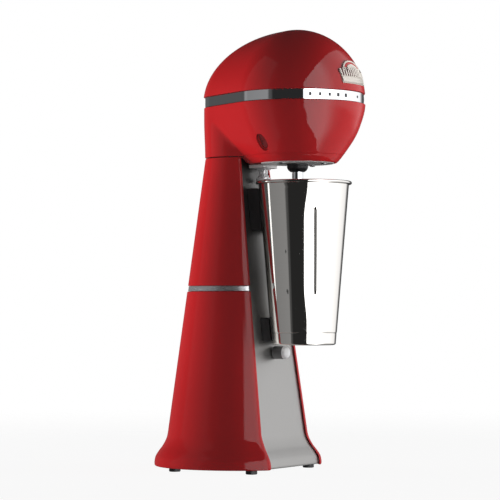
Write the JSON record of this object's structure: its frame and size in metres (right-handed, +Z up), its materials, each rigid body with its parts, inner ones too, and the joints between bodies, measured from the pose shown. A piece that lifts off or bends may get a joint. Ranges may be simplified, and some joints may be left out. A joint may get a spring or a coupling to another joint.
{
  "type": "milkshake mixer",
  "caption": "Retro countertop drink mixer: ball-shaped motor head on a tapered column, whirling spindle and agitator in a hanging steel malt cup",
  "frame": {"origin": "on the floor, under the centre of the outline", "axes": "+Z up, front of the machine faces -Y, +X to the right as seen from the front"},
  "size_m": [0.1924, 0.2533, 0.499],
  "materials": {
    "red_enamel": "high-gloss red lacquer over moulded shells",
    "polished_steel": "mirror-polished stainless steel",
    "brushed_steel": "brushed stainless sheet",
    "zinc_plate": "zinc-plated steel",
    "chrome": "bright chrome",
    "cast_iron": "rough cast iron",
    "black_rubber": "moulded black rubber",
    "black_plastic": "moulded black plastic",
    "white_nylon": "natural nylon",
    "silicon_steel": "stacked laminations",
    "copper_winding": "enamelled copper wire",
    "bronze": "sintered bronze and brass",
    "carbon": "pressed carbon",
    "spring_steel": "bright spring steel",
    "light_nylon": "light grey nylon with a smooth domed tip"
  },
  "bodies": {
    "stand": {"badge": "polished_steel", "base_ballast": "cast_iron", "base_plate": "zinc_plate", "brush_holder_left": "black_plastic", "brush_holder_right": "black_plastic", "carbon_brush_left": "carbon", "carbon_brush_right": "carbon", "column_lower_shell": "red_enamel", "column_spine": "zinc_plate", "column_trim": "polished_steel", "column_upper_shell": "red_enamel", "cup_pad_lower": "black_rubber", "cup_pad_upper": "black_rubber", "cup_rest_pin": "light_nylon", "field_coil_front": "copper_winding", "field_coil_rear": "copper_winding", "foot_front_left": "black_rubber", "foot_front_right": "black_rubber", "foot_rear_left": "black_rubber", "foot_rear_right": "black_rubber", "front_panel": "brushed_steel", "head_band": "chrome", "head_base_plate": "brushed_steel", "head_cover": "red_enamel", "head_lower_shell": "red_enamel", "lower_bearing": "bronze", "mains_lead": "black_plastic", "microswitch": "black_plastic", "motor_bolt_left": "zinc_plate", "motor_bolt_right": "zinc_plate", "motor_lower_bracket": "zinc_plate", "motor_upper_bracket": "zinc_plate", "neck_bolt_left": "zinc_plate", "neck_bolt_right": "zinc_plate", "plate_screw_front": "zinc_plate", "plate_screw_left": "zinc_plate", "plate_screw_right": "zinc_plate", "plunger_bracket": "zinc_plate", "plunger_guide": "chrome", "power_inlet": "black_plastic", "rear_tongue": "brushed_steel", "shaft_boot": "black_rubber", "stator_core": "silicon_steel", "switch_bezel": "red_enamel", "upper_bearing": "bronze"},
    "spindle": {"motor_shaft": "spring_steel", "armature": "silicon_steel", "commutator": "copper_winding", "cooling_fan": "white_nylon", "spindle_sleeve": "chrome", "agitator_shaft": "chrome", "agitator_disc": "polished_steel", "agitator_nut": "chrome"},
    "plunger": {"plunger_rod": "chrome", "rim_catch": "chrome", "plunger_spring": "spring_steel"},
    "cup": {"malt_cup": "polished_steel"},
    "rocker": {"switch_rocker": "black_plastic"},
    "lever": {"microswitch_lever": "spring_steel"}
  },
  "joints": [
    {"name": "spindle_spin", "type": "hinge", "parent": "stand", "child": "spindle", "pos_m": [0, -0.049, 0.25], "axis": [0, 0, 1], "continuous": true},
    {"name": "plunger_lift", "type": "slide", "parent": "stand", "child": "plunger", "axis": [0, 0, 1], "range_m": [0, 0.004], "stiffness_N_per_m": 600, "springref_m": -0.008, "deforming": ["plunger_spring"]},
    {"name": "cup_swing", "type": "hinge", "parent": "plunger", "child": "cup", "pos_m": [0, -0.0028, 0.3273], "axis": [-1, 0, 0], "range_deg": [0, 6]},
    {"name": "switch_rocker_tilt", "type": "hinge", "parent": "stand", "child": "rocker", "pos_m": [-0.05346, -0.03838, 0.37202], "axis": [-0.1942, -0.981, 0], "range_deg": [-7, 7]},
    {"name": "switch_lever_tilt", "type": "hinge", "parent": "stand", "child": "lever", "pos_m": [0, 0.0179, 0.3764], "axis": [-1, 0, 0], "range_deg": [0, 12]}
  ],
  "couplings": [
    {"joint": "switch_lever_tilt", "follows": "plunger_lift", "rad_per_m": 45.45}
  ]
}
